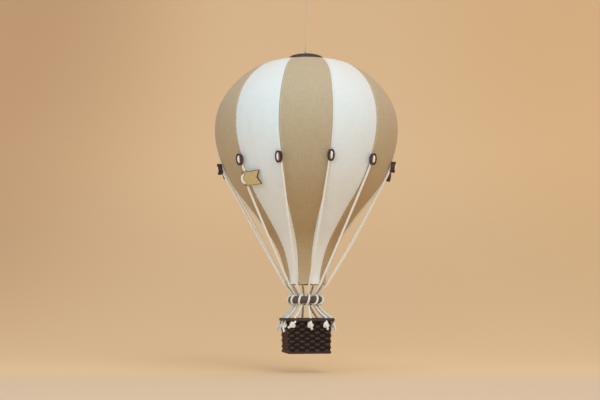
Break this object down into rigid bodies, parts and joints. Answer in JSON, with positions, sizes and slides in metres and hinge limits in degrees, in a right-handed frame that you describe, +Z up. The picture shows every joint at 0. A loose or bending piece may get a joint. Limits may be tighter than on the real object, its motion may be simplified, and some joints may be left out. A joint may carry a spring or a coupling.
{
  "type": "hanging_toy_balloon",
  "caption": "Decorative hot air balloon on a hanging thread: sewn fabric gores, corded oval rings, a wound ring and a square woven basket below.",
  "frame": {"origin": "inner top of the loop that the balloon hangs by", "axes": "+Z up along the hanging thread, -Y towards the viewer, +X to the viewer's right"},
  "size_m": [0.201, 0.201, 0.4068],
  "materials": {
    "tan_fabric": "woven linen",
    "white_fabric": "woven linen",
    "cream_cord": "twisted cord",
    "dark_leather": "satin",
    "cap_leather": "matt",
    "ring_winding": "wound thread",
    "wicker": "woven strips, stained",
    "rim_wicker": "wrapped strips, stained",
    "thread": "fine thread",
    "plywood": "bare, burnt edges"
  },
  "bodies": {
    "hanger": {"hanging_thread": "thread"},
    "balloon": {"crown_knot": "thread", "crown_cap": "cap_leather", "tag": "plywood", "gore_01": "tan_fabric", "gore_02": "white_fabric", "gore_03": "tan_fabric", "gore_04": "white_fabric", "gore_05": "tan_fabric", "gore_06": "white_fabric", "gore_07": "tan_fabric", "gore_08": "white_fabric", "gore_09": "tan_fabric", "gore_10": "white_fabric", "gore_11": "tan_fabric", "gore_12": "white_fabric", "toggle_01": "dark_leather", "toggle_02": "dark_leather", "toggle_03": "dark_leather", "toggle_04": "dark_leather", "toggle_05": "dark_leather", "toggle_06": "dark_leather", "toggle_07": "dark_leather", "toggle_08": "dark_leather", "toggle_09": "dark_leather", "toggle_10": "dark_leather", "toggle_11": "dark_leather", "toggle_12": "dark_leather", "cord_01_upper": "cream_cord", "cord_02_upper": "cream_cord", "cord_03_upper": "cream_cord", "cord_04_upper": "cream_cord", "cord_05_upper": "cream_cord", "cord_06_upper": "cream_cord", "cord_07_upper": "cream_cord", "cord_08_upper": "cream_cord", "cord_09_upper": "cream_cord", "cord_10_upper": "cream_cord", "cord_11_upper": "cream_cord", "cord_12_upper": "cream_cord"},
    "ring": {"ring": "ring_winding"},
    "basket": {"basket_body": "wicker", "basket_rim": "rim_wicker", "cord_01_lower": "cream_cord", "cord_02_lower": "cream_cord", "cord_03_lower": "cream_cord", "cord_04_lower": "cream_cord", "cord_05_lower": "cream_cord", "cord_06_lower": "cream_cord", "cord_07_lower": "cream_cord", "cord_08_lower": "cream_cord", "cord_09_lower": "cream_cord", "cord_10_lower": "cream_cord", "cord_11_lower": "cream_cord", "cord_12_lower": "cream_cord"}
  },
  "joints": [
    {"name": "thread_turn", "type": "hinge", "parent": "hanger", "child": "balloon", "pos_m": [0, 0, 0], "axis": [0, 0, 1], "continuous": true},
    {"name": "ring_sway", "type": "hinge", "parent": "balloon", "child": "ring", "pos_m": [0, 0, -0.3497], "axis": [1, 0, 0], "range_deg": [-8, 8]},
    {"name": "basket_sway", "type": "hinge", "parent": "ring", "child": "basket", "pos_m": [0, 0, -0.3497], "axis": [0, 1, 0], "range_deg": [-8, 8]}
  ]
}
